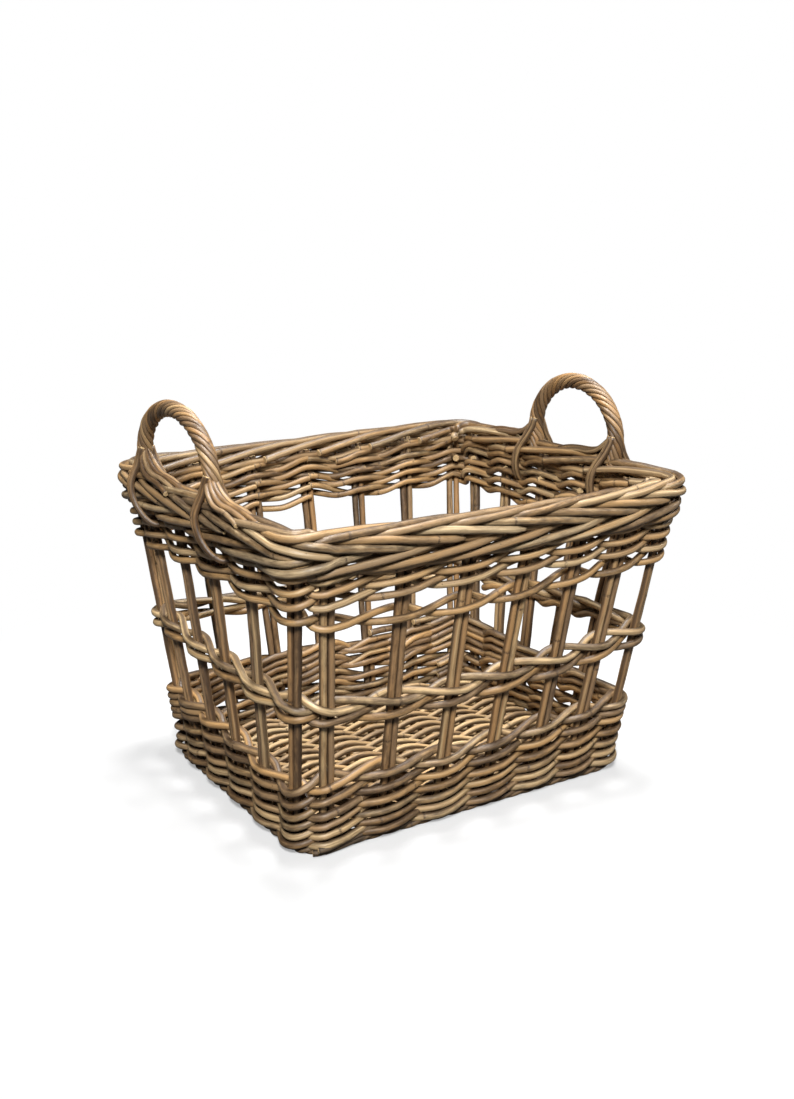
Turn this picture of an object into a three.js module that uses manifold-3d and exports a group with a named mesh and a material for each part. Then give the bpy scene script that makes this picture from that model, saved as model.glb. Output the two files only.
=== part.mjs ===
// Rattan storage basket with open lattice sides and two roped hoop handles.
// Millimetres, +Z up. It stands on z = 0, centred on the origin, with its long sides along X.

import * as THREE from 'three';
import { mergeVertices } from 'three/addons/utils/BufferGeometryUtils.js';
import Module from 'manifold-3d';

const wasm = await Module();
wasm.setup();

// Driving dimensions: the middle line of the wall in plan, at the ground and at the flare height
const BASE_LENGTH = 410;
const BASE_WIDTH = 306;
const UPPER_LENGTH = 462;
const UPPER_WIDTH = 399;
const FLARE_HEIGHT = 300;
const CORNER_RADIUS = 24;

// Stakes, the upright pairs of canes. A side's insets are from its two ends to its first and last
// stake, walked counter-clockwise seen from above. A drift makes the first spaces wider
const LONG_SIDE_STAKES = 7;
const SHORT_SIDE_STAKES = 5;
const FRONT_START_INSET = 27;
const FRONT_END_INSET = 13;
const FRONT_DRIFT = 0.19;
const RIGHT_START_INSET = 78;
const RIGHT_END_INSET = 33;
const RIGHT_DRIFT = 0.05;
const BACK_START_INSET = 14;
const BACK_END_INSET = 8;
const BACK_DRIFT = 0;
const LEFT_START_INSET = 58;
const LEFT_END_INSET = 18;
const LEFT_DRIFT = -0.1;
const STAKE_RADIUS = 4.2;
const PAIR_OVERLAP = 0.2;

// Weaver canes and their rows
const WEAVER_HALF = 3.1;
const WEAVER_REACH = 10;
const LOWER_ROW_PITCH = 15.5;
const MIDDLE_BAND_HEIGHT = 163;
const MIDDLE_ROW_PITCH = 13;
const UPPER_BAND_HEIGHT = 263;
const UPPER_ROW_PITCH = 16.5;

// Rolled border on the rim
const BORDER_CANE_RADIUS = 4.7;
const BORDER_HALF_SPREAD = 11.5;
const BORDER_HALF_RISE = 9.7;
const BORDER_OUTSET = 2;
const BORDER_CANES = 4;

// Foot border and floor
const FOOT_HEIGHT = 7;
const FOOT_OUTER = 9;
const FOOT_INNER = 18;
const FOOT_EDGE_EASE = 2;
const FOOT_TO_ROW_GAP = 3.3;
const FLOOR_CANES = 42;
const FLOOR_CANE_THICKNESS = 5.2;
const FLOOR_STICKS = 7;
const FLOOR_STICK_INSET = 25;
const FLOOR_STICK_RADIUS = 2.9;

// Handles: how far past its stake each leg stands, the rope, and the canes that lash it down
const RIGHT_FRONT_LEG_STEP = 31;
const RIGHT_BACK_LEG_STEP = 19;
const LEFT_BACK_LEG_STEP = 13;
const LEFT_FRONT_LEG_STEP = 23;
const HANDLE_ROPE_RADIUS = 10;
const HANDLE_HALF_RISE = 63;
const HANDLE_FOOT_ANGLE = 14;
const HANDLE_SIDES = 8;
const HANDLE_STEPS = 20;
const LASHING_RADIUS = 3;
const LASHING_RISE = 9;
const LASHING_SLIP = 12;
const LASHING_STEPS = 9;

// Clearances
const GAP = 0.3;
const FLOOR_EDGE_GAP = 1.2;
const CORNER_EASE = 1.2;

const OUTLINE_CORNER_STEPS = 6;

const CANE = { color: 0x967855, roughness: 0.62 };
const DARK_CANE = { color: 0x5c4a35, roughness: 0.75 };
const PALE_CANE = { color: 0xb39a74, roughness: 0.68 };
const STAKE_CANE = { color: 0x8a6d4b, roughness: 0.58 };

const STAKES = 2 * (LONG_SIDE_STAKES + SHORT_SIDE_STAKES);
const SEAM = LONG_SIDE_STAKES + SHORT_SIDE_STAKES + 3;
const LOWER_COURSE_TURNS = [2, 3];
const UPPER_COURSE_TURNS = [1, 1, 1, 1];

const sides = [
  [LONG_SIDE_STAKES, FRONT_START_INSET, FRONT_END_INSET, FRONT_DRIFT],
  [SHORT_SIDE_STAKES, RIGHT_START_INSET, RIGHT_END_INSET, RIGHT_DRIFT],
  [LONG_SIDE_STAKES, BACK_START_INSET, BACK_END_INSET, BACK_DRIFT],
  [SHORT_SIDE_STAKES, LEFT_START_INSET, LEFT_END_INSET, LEFT_DRIFT],
];

// Rings in plan: a rounded rectangle, walked counter-clockwise from the middle of the front side

function makeRing(length, width) {
  const straightX = length / 2 - CORNER_RADIUS;
  const straightY = width / 2 - CORNER_RADIUS;
  const arc = CORNER_RADIUS * Math.PI / 2;
  const halfTurn = 2 * (straightX + straightY + arc);
  return { straightX, straightY, arc, halfTurn };
}

// Point and outward direction at a distance along the ring. A corner's centre runs round the inner
// rectangle, and the second half turn is the first one turned round
function pointOnRing({ straightX, straightY, arc, halfTurn }, distance) {
  const { clamp } = THREE.MathUtils;
  const halfTurns = Math.floor(distance / halfTurn);
  const rest = distance - halfTurns * halfTurn;
  const firstArc = clamp(rest - straightX, 0, arc);
  const shortSide = clamp(rest - straightX - arc, 0, 2 * straightY);
  const secondArc = clamp(rest - straightX - arc - 2 * straightY, 0, arc);
  const backSide = clamp(rest - straightX - 2 * (arc + straightY), 0, straightX);
  const angle = (firstArc + secondArc) / CORNER_RADIUS;
  const outward = new THREE.Vector2(Math.sin(angle), -Math.cos(angle));
  const point = new THREE.Vector2(clamp(rest, 0, straightX) - backSide, shortSide - straightY)
    .addScaledVector(outward, CORNER_RADIUS);
  const sign = halfTurns % 2 === 0 ? 1 : -1;
  return { point: point.multiplyScalar(sign), outward: outward.multiplyScalar(sign) };
}

// Distance along a ring of each stake, from the first one of the front side onwards
function stakeDistances({ straightX, straightY, arc, halfTurn }) {
  return sides.flatMap(([stakes, startInset, endInset, drift], side) => {
    const isLong = side % 2 === 0;
    const straight = isLong ? straightX : straightY;
    const middle = (side - side % 2) / 2 * halfTurn + (isLong ? 0 : straightX + arc + straightY);
    const start = startInset - straight - CORNER_RADIUS;
    const end = straight + CORNER_RADIUS - endInset;
    return Array.from({ length: stakes }, (_, i) => {
      const part = i / (stakes - 1);
      const offset = start + (end - start) * part * (1 + drift * (1 - part));
      const beyond = Math.max(0, Math.abs(offset) - straight);
      const round = CORNER_RADIUS * Math.asin(beyond / CORNER_RADIUS);
      return middle + Math.sign(offset) * (Math.min(Math.abs(offset), straight) + round);
    });
  });
}

const lowerRing = makeRing(BASE_LENGTH, BASE_WIDTH);
const upperRing = makeRing(UPPER_LENGTH, UPPER_WIDTH);
const lowerStakes = stakeDistances(lowerRing);
const upperStakes = stakeDistances(upperRing);

// Distance along a ring of a station. Whole stations are stakes, and fractions lie between them
function stationDistance(ring, stakes, station) {
  const turns = Math.floor(station / STAKES);
  const local = station - turns * STAKES;
  const before = Math.floor(local);
  const from = stakes[before];
  const to = before + 1 < STAKES ? stakes[before + 1] : stakes[0] + 2 * ring.halfTurn;
  return turns * 2 * ring.halfTurn + from + (to - from) * (local - before);
}

// Frame on the wall's middle surface at a station and a height
function wallFrame(station, height) {
  const foot = pointOnRing(lowerRing, stationDistance(lowerRing, lowerStakes, station));
  const head = pointOnRing(upperRing, stationDistance(upperRing, upperStakes, station));
  const rise = height / FLARE_HEIGHT;
  const plan = foot.point.clone().lerp(head.point, rise);
  const side = foot.outward.clone().lerp(head.outward, rise).normalize();
  return {
    origin: new THREE.Vector3(plan.x, plan.y, height),
    outward: new THREE.Vector3(side.x, side.y, 0),
    along: new THREE.Vector3(-side.y, side.x, 0),
  };
}

// Length of wall between two stations at a height
function wallLength(from, to, height) {
  const lower = stationDistance(lowerRing, lowerStakes, to) - stationDistance(lowerRing, lowerStakes, from);
  const upper = stationDistance(upperRing, upperStakes, to) - stationDistance(upperRing, upperStakes, from);
  return lower + (upper - lower) * height / FLARE_HEIGHT;
}

// Station that lies a real length before or after another one, less than half a space away
function stationBeside(station, offset, height) {
  if (offset === 0) {
    return station;
  }
  const step = Math.sign(offset) / 2;
  return station + step * offset / wallLength(station, station + step, height);
}

// Solid through a row of equal sections. place gives the point of section corner c in ring k
function loft(outline, ringCount, place, closed = false) {
  const sides = outline.length;
  const positions = [];
  const index = [];
  for (let k = 0; k < ringCount; k += 1) {
    for (let c = 0; c < sides; c += 1) {
      positions.push(...place(outline[c], k).toArray());
    }
  }
  const spans = closed ? ringCount : ringCount - 1;
  for (let k = 0; k < spans; k += 1) {
    const here = k * sides;
    const there = ((k + 1) % ringCount) * sides;
    for (let c = 0; c < sides; c += 1) {
      const d = (c + 1) % sides;
      index.push(here + c, here + d, there + d, here + c, there + d, there + c);
    }
  }
  if (!closed) {
    const last = (ringCount - 1) * sides;
    for (const [a, b, c] of THREE.ShapeUtils.triangulateShape(outline, [])) {
      index.push(c, b, a, last + a, last + b, last + c);
    }
  }
  const geometry = new THREE.BufferGeometry();
  geometry.setAttribute('position', new THREE.Float32BufferAttribute(positions, 3));
  geometry.setIndex(volumeOf(positions, index) < 0 ? index.reverse() : index);
  geometry.computeVertexNormals();
  return geometry;
}

function volumeOf(positions, index) {
  const corner = (i) => new THREE.Vector3().fromArray(positions, 3 * index[i]);
  let sum = 0;
  for (let i = 0; i < index.length; i += 3) {
    sum += corner(i).dot(corner(i + 1).cross(corner(i + 2)));
  }
  return sum / 6;
}

// Sections, counter-clockwise

function polygon(sides, radius, turn = 0) {
  const corners = [];
  for (let i = 0; i < sides; i += 1) {
    const angle = turn + 2 * Math.PI * i / sides;
    corners.push(new THREE.Vector2(radius * Math.cos(angle), radius * Math.sin(angle)));
  }
  return corners;
}

// Two round canes side by side, touching along their length
function pairSection(radius, steps) {
  const centre = radius - PAIR_OVERLAP;
  const waist = radius / 2;
  const half = [];
  for (let i = 0; i <= steps; i += 1) {
    const angle = Math.PI * (i / steps - 0.5);
    half.push(new THREE.Vector2(centre + radius * Math.cos(angle), radius * Math.sin(angle)));
  }
  const turned = half.map((corner) => corner.clone().negate());
  return [...half, new THREE.Vector2(0, waist), ...turned, new THREE.Vector2(0, -waist)];
}

const weaverSection = polygon(4, WEAVER_HALF * Math.SQRT2, Math.PI / 4);

// Assembly

const basket = new THREE.Group();

function addPiece(name, geometry, finish) {
  const material = new THREE.MeshStandardMaterial({ ...finish, metalness: 0 });
  const mesh = new THREE.Mesh(geometry, material);
  mesh.name = name;
  basket.add(mesh);
}

// Heights that follow from the rows
const footTop = FOOT_HEIGHT;
const rowHalf = 2 * WEAVER_HALF + GAP / 2;
const lowerBandHeight = footTop + FOOT_TO_ROW_GAP + rowHalf;
const topWeaverHeight = UPPER_BAND_HEIGHT + (UPPER_COURSE_TURNS.length - 1) * UPPER_ROW_PITCH;
const borderBottom = topWeaverHeight + rowHalf + 2 * LASHING_RADIUS + 2 * GAP;
const borderHeight = borderBottom + BORDER_HALF_RISE + BORDER_CANE_RADIUS;
const rimTop = borderHeight + BORDER_HALF_RISE + BORDER_CANE_RADIUS;
const stakeTop = borderBottom - GAP;
const weaverFace = STAKE_RADIUS + GAP + 2 * WEAVER_HALF;

// Stakes

function stake(station) {
  const heights = [footTop + GAP, stakeTop];
  const frames = heights.map((height) => wallFrame(station, height));
  return loft(pairSection(STAKE_RADIUS, 4), 2, (corner, k) => frames[k].origin.clone()
    .addScaledVector(frames[k].along, corner.x)
    .addScaledVector(frames[k].outward, corner.y));
}

for (let station = 0; station < STAKES; station += 1) {
  const number = String(station + 1).padStart(2, '0');
  addPiece(`stake_pair_${number}`, stake(station), STAKE_CANE);
}

// Weavers. A cane starts hidden behind a stake, passes in front of the next one and behind the
// one after, and climbs one row each time it comes round to the seam at the back

// Stakes at a corner, and the spaces that the wall turns a corner in, by the stake before them

function isCornerStake(stake) {
  const onSide = stake % (STAKES / 2);
  return onSide === 0 || isCornerSpace(stake);
}

function isCornerSpace(stake) {
  const onSide = stake % (STAKES / 2);
  return onSide === LONG_SIDE_STAKES - 1 || onSide === STAKES / 2 - 1;
}

function weaverCane({ first, last, height, pitch, twist }) {
  const lift = WEAVER_HALF + GAP / 2;
  const away = STAKE_RADIUS + GAP + WEAVER_HALF;
  const rings = [];
  for (let local = first; local <= last; local += 1) {
    const isEnd = local === first || local === last;
    const inFront = (local - first) % 2 === 1;
    const atCorner = isCornerStake(SEAM + local);
    const outward = inFront ? away + (atCorner ? CORNER_EASE : 0) : -away;
    const slant = (inFront ? lift : -lift) * twist;
    const level = height + Math.floor((local + 0.5) / STAKES) * pitch;
    const addRing = (offset, shift) => {
      const station = stationBeside(SEAM + local, offset, level);
      rings.push({ station, outward, height: level + shift });
    };
    if (local > first) {
      addRing(-WEAVER_REACH, -slant);
    }
    if (atCorner || isEnd) {
      const trim = local === first ? GAP : -GAP;
      addRing(isEnd ? trim : 0, 0);
    }
    if (local < last) {
      addRing(WEAVER_REACH, slant);
    }
  }
  return loft(weaverSection, rings.length, (corner, k) => {
    const ring = rings[k];
    const frame = wallFrame(ring.station, ring.height + corner.y);
    return frame.origin.addScaledVector(frame.outward, ring.outward + corner.x);
  });
}

// Two canes side by side in the pattern, cut into courses of the turns given. The top course of
// several stops two stakes short, so that it doesn't climb out of the band
function addWeavers(name, turns, height, pitch, twist) {
  let from = 0;
  turns.forEach((count, course) => {
    const isTop = course === turns.length - 1;
    const to = from + count * STAKES - (isTop && turns.length > 1 ? 2 : 0);
    const suffix = turns.length > 1 ? `_course_${course + 1}` : '';
    const common = { height, pitch, twist };
    addPiece(`${name}${suffix}_a`, weaverCane({ first: from, last: to, ...common }), CANE);
    addPiece(`${name}${suffix}_b`, weaverCane({ first: from + 1, last: to + 1, ...common }), CANE);
    from = to;
  });
}

addWeavers('lower_weaver', LOWER_COURSE_TURNS, lowerBandHeight, LOWER_ROW_PITCH, 1);
addWeavers('middle_lower_weaver', [1], MIDDLE_BAND_HEIGHT - MIDDLE_ROW_PITCH / 2, 0, 1);
addWeavers('middle_upper_weaver', [1], MIDDLE_BAND_HEIGHT + MIDDLE_ROW_PITCH / 2, 0, -1);
addWeavers('upper_weaver', UPPER_COURSE_TURNS, UPPER_BAND_HEIGHT, UPPER_ROW_PITCH, 1);

// Rolled border: canes laid like a rope round the rim, a quarter turn from stake to stake

function borderStations() {
  const stations = [stationBeside(SEAM, GAP, borderHeight)];
  for (let stake = SEAM; stake < SEAM + STAKES; stake += 1) {
    const steps = isCornerSpace(stake) ? 4 : 2;
    for (let k = 1; k <= steps; k += 1) {
      stations.push(stake + k / steps);
    }
  }
  stations[stations.length - 1] = stationBeside(SEAM + STAKES, -GAP, borderHeight);
  return stations;
}

function borderCane(which) {
  const section = polygon(6, BORDER_CANE_RADIUS, Math.PI / 6);
  const stations = borderStations();
  return loft(section, stations.length, (corner, k) => {
    const station = stations[k];
    const phase = (which + station) * Math.PI / 2;
    const across = BORDER_OUTSET + BORDER_HALF_SPREAD * Math.cos(phase);
    const height = borderHeight + BORDER_HALF_RISE * Math.sin(phase);
    const frame = wallFrame(station, height + corner.y);
    return frame.origin.addScaledVector(frame.outward, across + corner.x);
  });
}

for (let which = 0; which < BORDER_CANES; which += 1) {
  addPiece(`border_cane_${which + 1}`, borderCane(which), CANE);
}

// Corner points of the wall's middle line on the ground, moved outwards by an amount
function groundOutline(outset) {
  const { straightX, straightY, arc, halfTurn } = lowerRing;
  const corners = [straightX, straightX + arc + 2 * straightY];
  const points = [];
  for (const start of [...corners, ...corners.map((distance) => distance + halfTurn)]) {
    for (let k = 0; k <= OUTLINE_CORNER_STEPS; k += 1) {
      const { point, outward } = pointOnRing(lowerRing, start + arc * k / OUTLINE_CORNER_STEPS);
      points.push(point.addScaledVector(outward, outset));
    }
  }
  return points;
}

// Foot border: a low ring with a flat underside, which carries the stakes and the floor

function footBorder() {
  const eased = FOOT_OUTER - FOOT_EDGE_EASE;
  const section = [
    [-FOOT_INNER, 0], [eased, 0], [FOOT_OUTER, footTop / 2], [eased, footTop], [-FOOT_INNER, footTop],
  ].map(([x, y]) => new THREE.Vector2(x, y));
  const outlines = new Map(section.map(({ x }) => [x, groundOutline(x)]));
  return loft(section, outlines.get(eased).length, (corner, k) => {
    const { x, y } = outlines.get(corner.x)[k];
    return new THREE.Vector3(x, y, corner.y);
  }, true);
}

addPiece('foot_border', footBorder(), DARK_CANE);

// Floor: canes from side to side, woven over and under sticks that run from front to back. The
// canes touch side by side between the sticks, and are one solid

const floorInset = weaverFace + FLOOR_EDGE_GAP;
const floorHalfLength = BASE_LENGTH / 2 - floorInset;
const floorHalfWidth = BASE_WIDTH / 2 - floorInset;
const floorRise = FLOOR_STICK_RADIUS + GAP + FLOOR_CANE_THICKNESS / 2;
const floorHeight = footTop + GAP + FLOOR_CANE_THICKNESS / 2 + floorRise;
const stickReach = floorHalfLength - FLOOR_STICK_INSET;
const stickPitch = 2 * stickReach / (FLOOR_STICKS - 1);

// Half length of a floor cane. The ones at the long sides stop short of the rounded corners
function floorCaneReach(which) {
  const radius = CORNER_RADIUS - floorInset;
  const fromSide = Math.min(which, FLOOR_CANES - 1 - which) * 2 * floorHalfWidth / FLOOR_CANES;
  const beyond = Math.max(0, radius - fromSide);
  return floorHalfLength - radius + Math.sqrt(radius ** 2 - beyond ** 2);
}

// Height of a floor cane: a zigzag over one stick and under the next, and the next cane's is opposite
function floorCaneHeight(which, x) {
  const turn = THREE.MathUtils.euclideanModulo((x + stickReach) / stickPitch + which, 2);
  return floorHeight + floorRise * (2 * Math.abs(turn - 1) - 1);
}

function stickPlaces() {
  return Array.from({ length: FLOOR_STICKS }, (_, i) => i * stickPitch - stickReach);
}

function floorCane(which) {
  const reach = floorCaneReach(which);
  const places = [-reach, ...stickPlaces(), reach];
  const half = FLOOR_CANE_THICKNESS / 2;
  const section = [[0, -half], [1, -half], [1, half], [0, half]].map(([x, y]) => new THREE.Vector2(x, y));
  return loft(section, places.length, (corner, k) => new THREE.Vector3(
    places[k],
    floorHalfWidth * (2 * (which + corner.x) / FLOOR_CANES - 1),
    floorCaneHeight(which, places[k]) + corner.y,
  ));
}

function toSolid(geometry) {
  const bare = geometry.clone();
  bare.deleteAttribute('normal');
  const merged = mergeVertices(bare);
  return new wasm.Manifold(new wasm.Mesh({
    numProp: 3,
    vertProperties: merged.getAttribute('position').array,
    triVerts: new Uint32Array(merged.getIndex().array),
  }));
}

function fromSolid(solid) {
  const { vertProperties, triVerts } = solid.getMesh();
  const geometry = new THREE.BufferGeometry();
  geometry.setAttribute('position', new THREE.BufferAttribute(new Float32Array(vertProperties), 3));
  geometry.setIndex(new THREE.BufferAttribute(new Uint32Array(triVerts), 1));
  geometry.computeVertexNormals();
  return geometry;
}

function floorPanel() {
  let panel = toSolid(floorCane(0));
  for (let which = 1; which < FLOOR_CANES; which += 1) {
    panel = panel.add(toSolid(floorCane(which)));
  }
  return fromSolid(panel);
}

function floorStick(x) {
  const section = polygon(8, FLOOR_STICK_RADIUS, Math.PI / 8);
  return loft(section, 2, (corner, k) => new THREE.Vector3(
    x + corner.x,
    (2 * k - 1) * floorHalfWidth,
    floorHeight + corner.y,
  ));
}

addPiece('floor_woven_panel', floorPanel(), PALE_CANE);
stickPlaces().forEach((x, i) => {
  addPiece(`floor_stick_${i + 1}`, floorStick(x), PALE_CANE);
});

// Handles: a roped hoop stands on the border of each short side, with each leg past a stake

const footAngle = THREE.MathUtils.degToRad(HANDLE_FOOT_ANGLE);
const handleCentreHeight = rimTop + GAP + HANDLE_HALF_RISE * Math.sin(footAngle);
const handleFlat = HANDLE_ROPE_RADIUS * Math.cos(Math.PI / HANDLE_SIDES);

function legFrame(stake, step) {
  const frame = wallFrame(stationBeside(stake, step, borderHeight), borderHeight);
  frame.origin.addScaledVector(frame.outward, BORDER_OUTSET);
  return frame;
}

function handleHoop(firstLeg, secondLeg) {
  const middle = firstLeg.origin.clone().lerp(secondLeg.origin, 0.5);
  const halfSpan = firstLeg.origin.distanceTo(secondLeg.origin) / 2 / Math.cos(footAngle);
  const sweep = Math.PI + 2 * footAngle;
  const section = polygon(HANDLE_SIDES, HANDLE_ROPE_RADIUS, Math.PI / HANDLE_SIDES);
  return loft(section, HANDLE_STEPS + 1, (corner, k) => {
    const angle = sweep * k / HANDLE_STEPS - footAngle;
    const isFoot = k === 0 || k === HANDLE_STEPS;
    const normalX = isFoot ? Math.sign(Math.cos(angle)) : HANDLE_HALF_RISE * Math.cos(angle);
    const normalZ = isFoot ? 0 : halfSpan * Math.sin(angle);
    const size = Math.hypot(normalX, normalZ);
    const along = halfSpan * Math.cos(angle) + corner.x * normalX / size;
    const height = HANDLE_HALF_RISE * Math.sin(angle) + corner.x * normalZ / size;
    return middle.clone()
      .addScaledVector(firstLeg.along, along)
      .addScaledVector(firstLeg.outward, corner.y)
      .setZ(handleCentreHeight + height);
  });
}

// A pair of canes that runs from a leg down one face of the border and up the other. Its route is
// an ellipse round the border with an upright end at each face, and under the border it slips
// further along than the leg
function lashing(leg) {
  const clear = BORDER_CANE_RADIUS + GAP + LASHING_RADIUS;
  const legFoot = BORDER_HALF_RISE + BORDER_CANE_RADIUS + GAP;
  const besideLeg = handleFlat + GAP + LASHING_RADIUS;
  const top = BORDER_HALF_RISE + BORDER_CANE_RADIUS + LASHING_RISE;
  const stepAngle = 1.5 * Math.PI / LASHING_STEPS;
  const route = [[besideLeg, top]];
  for (let k = 0; k <= LASHING_STEPS; k += 1) {
    const angle = Math.PI / 4 - k * stepAngle;
    const across = (BORDER_HALF_SPREAD + clear) * Math.cos(angle) / Math.cos(stepAngle / 2);
    const height = (BORDER_HALF_RISE + clear) * Math.sin(angle) / Math.cos(stepAngle / 2);
    route.push([across, height]);
  }
  route.push([-besideLeg, top]);
  return loft(pairSection(LASHING_RADIUS, 2), route.length, (corner, k) => {
    const [beforeX, beforeZ] = route[Math.max(k - 1, 0)];
    const [afterX, afterZ] = route[Math.min(k + 1, route.length - 1)];
    const [across, height] = route[k];
    const size = Math.hypot(afterX - beforeX, afterZ - beforeZ);
    const normalX = (beforeZ - afterZ) / size;
    const normalZ = (afterX - beforeX) / size;
    const slip = LASHING_SLIP * THREE.MathUtils.clamp(1 - height / legFoot, 0, 1);
    return leg.origin.clone()
      .addScaledVector(leg.along, slip + corner.x)
      .addScaledVector(leg.outward, across + corner.y * normalX)
      .setZ(borderHeight + height + corner.y * normalZ);
  });
}

const firstRightStake = LONG_SIDE_STAKES;
const firstLeftStake = firstRightStake + STAKES / 2;
const handles = [
  {
    side: 'right',
    legs: [
      { end: 'front', stake: firstRightStake, step: RIGHT_FRONT_LEG_STEP },
      { end: 'back', stake: firstRightStake + 2, step: RIGHT_BACK_LEG_STEP },
    ],
  },
  {
    side: 'left',
    legs: [
      { end: 'back', stake: firstLeftStake, step: LEFT_BACK_LEG_STEP },
      { end: 'front', stake: firstLeftStake + 2, step: LEFT_FRONT_LEG_STEP },
    ],
  },
];
for (const { side, legs } of handles) {
  const frames = legs.map(({ stake, step }) => legFrame(stake, step));
  addPiece(`handle_hoop_${side}`, handleHoop(...frames), CANE);
  legs.forEach(({ end }, i) => addPiece(`handle_lashing_${side}_${end}`, lashing(frames[i]), CANE));
}

export default basket;
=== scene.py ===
"""Rattan storage basket: open woven sides, a rolled border and two roped hoop handles.

Every cane is a round rod carried along a path that is worked out in millimetres on the basket's
wall, and put into its mesh in metres. A place on the wall is a station (whole numbers are stakes,
counted counter-clockwise from the near-left corner), a distance across the wall (outwards is
positive) and a height.
"""
import math

import bpy
import numpy as np
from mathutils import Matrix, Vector


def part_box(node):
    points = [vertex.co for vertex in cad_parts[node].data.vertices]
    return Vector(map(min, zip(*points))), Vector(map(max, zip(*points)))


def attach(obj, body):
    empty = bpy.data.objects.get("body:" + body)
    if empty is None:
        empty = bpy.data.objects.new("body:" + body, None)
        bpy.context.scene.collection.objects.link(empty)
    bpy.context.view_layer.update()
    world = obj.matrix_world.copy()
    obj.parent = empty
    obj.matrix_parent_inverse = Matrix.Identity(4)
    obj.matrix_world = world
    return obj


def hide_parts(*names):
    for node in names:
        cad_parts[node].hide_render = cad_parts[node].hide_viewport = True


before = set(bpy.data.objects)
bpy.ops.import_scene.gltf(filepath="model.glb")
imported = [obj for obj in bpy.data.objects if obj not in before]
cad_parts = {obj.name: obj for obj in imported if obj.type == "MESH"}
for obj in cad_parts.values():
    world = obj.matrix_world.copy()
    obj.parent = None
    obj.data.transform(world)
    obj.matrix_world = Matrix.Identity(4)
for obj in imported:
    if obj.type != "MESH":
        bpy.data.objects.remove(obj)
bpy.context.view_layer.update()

MM = 0.001
UPWARDS = (0.0, 0.0, 1.0)

# Wall, as in the frame: the middle line in plan at the ground and at the flare height
BASE_LENGTH = 410.0
BASE_WIDTH = 306.0
UPPER_LENGTH = 462.0
UPPER_WIDTH = 399.0
FLARE_HEIGHT = 300.0
CORNER_RADIUS = 24.0

# Stakes on each side: how many, the insets of the first and the last, and how the spaces narrow
SIDES = ((7, 27.0, 13.0, 0.19), (5, 78.0, 33.0, 0.05), (7, 14.0, 8.0, 0.0), (5, 58.0, 18.0, -0.1))
STAKES = 24
RIGHT_STAKE = 7
LEFT_STAKE = 19

# Stake on the back at which the weave starts. The weavers count their stakes from it
SEAM = 15

# Heights of the bands' rows, where a cane lies in front of a stake. The lowest rows are beaten down
LOWER_ROWS = (12.5, 22.0, 33.0, 46.5, 62.0, 78.5)
MIDDLE_LOWER_ROW = (156.5,)
MIDDLE_UPPER_ROW = (169.5,)
UPPER_ROWS = (263.0, 277.5, 291.5, 305.0, 318.5, 329.0)

# Canes, and how far two that cross are pressed into each other
STAKE_RADIUS = 4.0
STAKE_HALF_SPACING = 4.35
WEAVER_RADIUS = 4.0
BORDER_RADIUS = 4.3
ROPE_CANE_RADIUS = 2.85
FLOOR_CANES = 32
FLOOR_CANE_RADIUS = 3.75
FLOOR_STICK_RADIUS = 2.8
PRESS = 0.2

# How a cane varies: the wavelengths of its bends sideways and upwards, the length at its ends over
# which they fade, the wavelength and play of its girth, how oval it is, its swelling at a leaf scar,
# how unevenly the scars are spaced, and how far apart in the noise two canes can lie
SIDE_WAVE = 130.0
UP_WAVE = 110.0
STILL_END = 12.0
GIRTH_WAVE = 90.0
GIRTH_PLAY = 0.035
OVALITY = 0.05
SCAR_SWELLING = 0.06
SCAR_WIDTH = 5.0
SCAR_SPACING = (0.6, 1.4)
GRAIN_SPREAD = 1000.0

# Ends of a cane: the chamfer's length as a share of the radius, the share of the girth left at the
# cut, and the share that is pared away at a pared tip
CHAMFER = 0.14
CUT_GIRTH = 0.84
PARED_AWAY = 0.5

# Border and handles, as in the frame
BORDER_HEIGHT = 339.85
BORDER_OUTSET = 2.0
RIM_TOP = 354.25
HANDLE_HALF_RISE = 63.0
HANDLE_FOOT_ANGLE = math.radians(14)
HANDLE_ROPE_RADIUS = 9.2

# Legs of the handles: the stake that each one stands past, and how far past it along the border
LEG_STEPS = {
    "right": ((RIGHT_STAKE, 31.0), (RIGHT_STAKE + 2, 19.0)),
    "left": ((LEFT_STAKE, 13.0), (LEFT_STAKE + 2, 23.0)),
}

# Camera: the angle, distance and lens that the photograph was taken with, in its 794 x 1099 frame
CAMERA_AZIMUTH = math.radians(-32.27)
CAMERA_ELEVATION = math.radians(19.08)
CAMERA_DISTANCE = 1.5384
CAMERA_TARGET = Vector((0.0, 0.0, 0.170))
PHOTO_WIDTH = 794
PHOTO_HEIGHT = 1099
FOCAL_PIXELS = 1330.6
CENTRE_PIXEL_X = 393.8
CENTRE_PIXEL_Y = 623.6

# Studio. The camera sees plain white added to the floor: a share of it near the basket, all of it
# farther away
WHITE = (1.0, 1.0, 1.0, 1.0)
AMBIENT = 0.02
LAMP_TARGET = Vector((0.0, 0.0, 0.15))
FLOOR_SHADE = (0.08, 0.08, 0.08, 1.0)
SHOWN_FLOOR = (0.6, 0.6, 0.6, 1.0)
FLOOR_REACH = 6.0
NEAR_WHITE = 0.35
NEAR_DISTANCE = 0.3
FAR_DISTANCE = 0.75


# Paths on the wall


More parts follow.
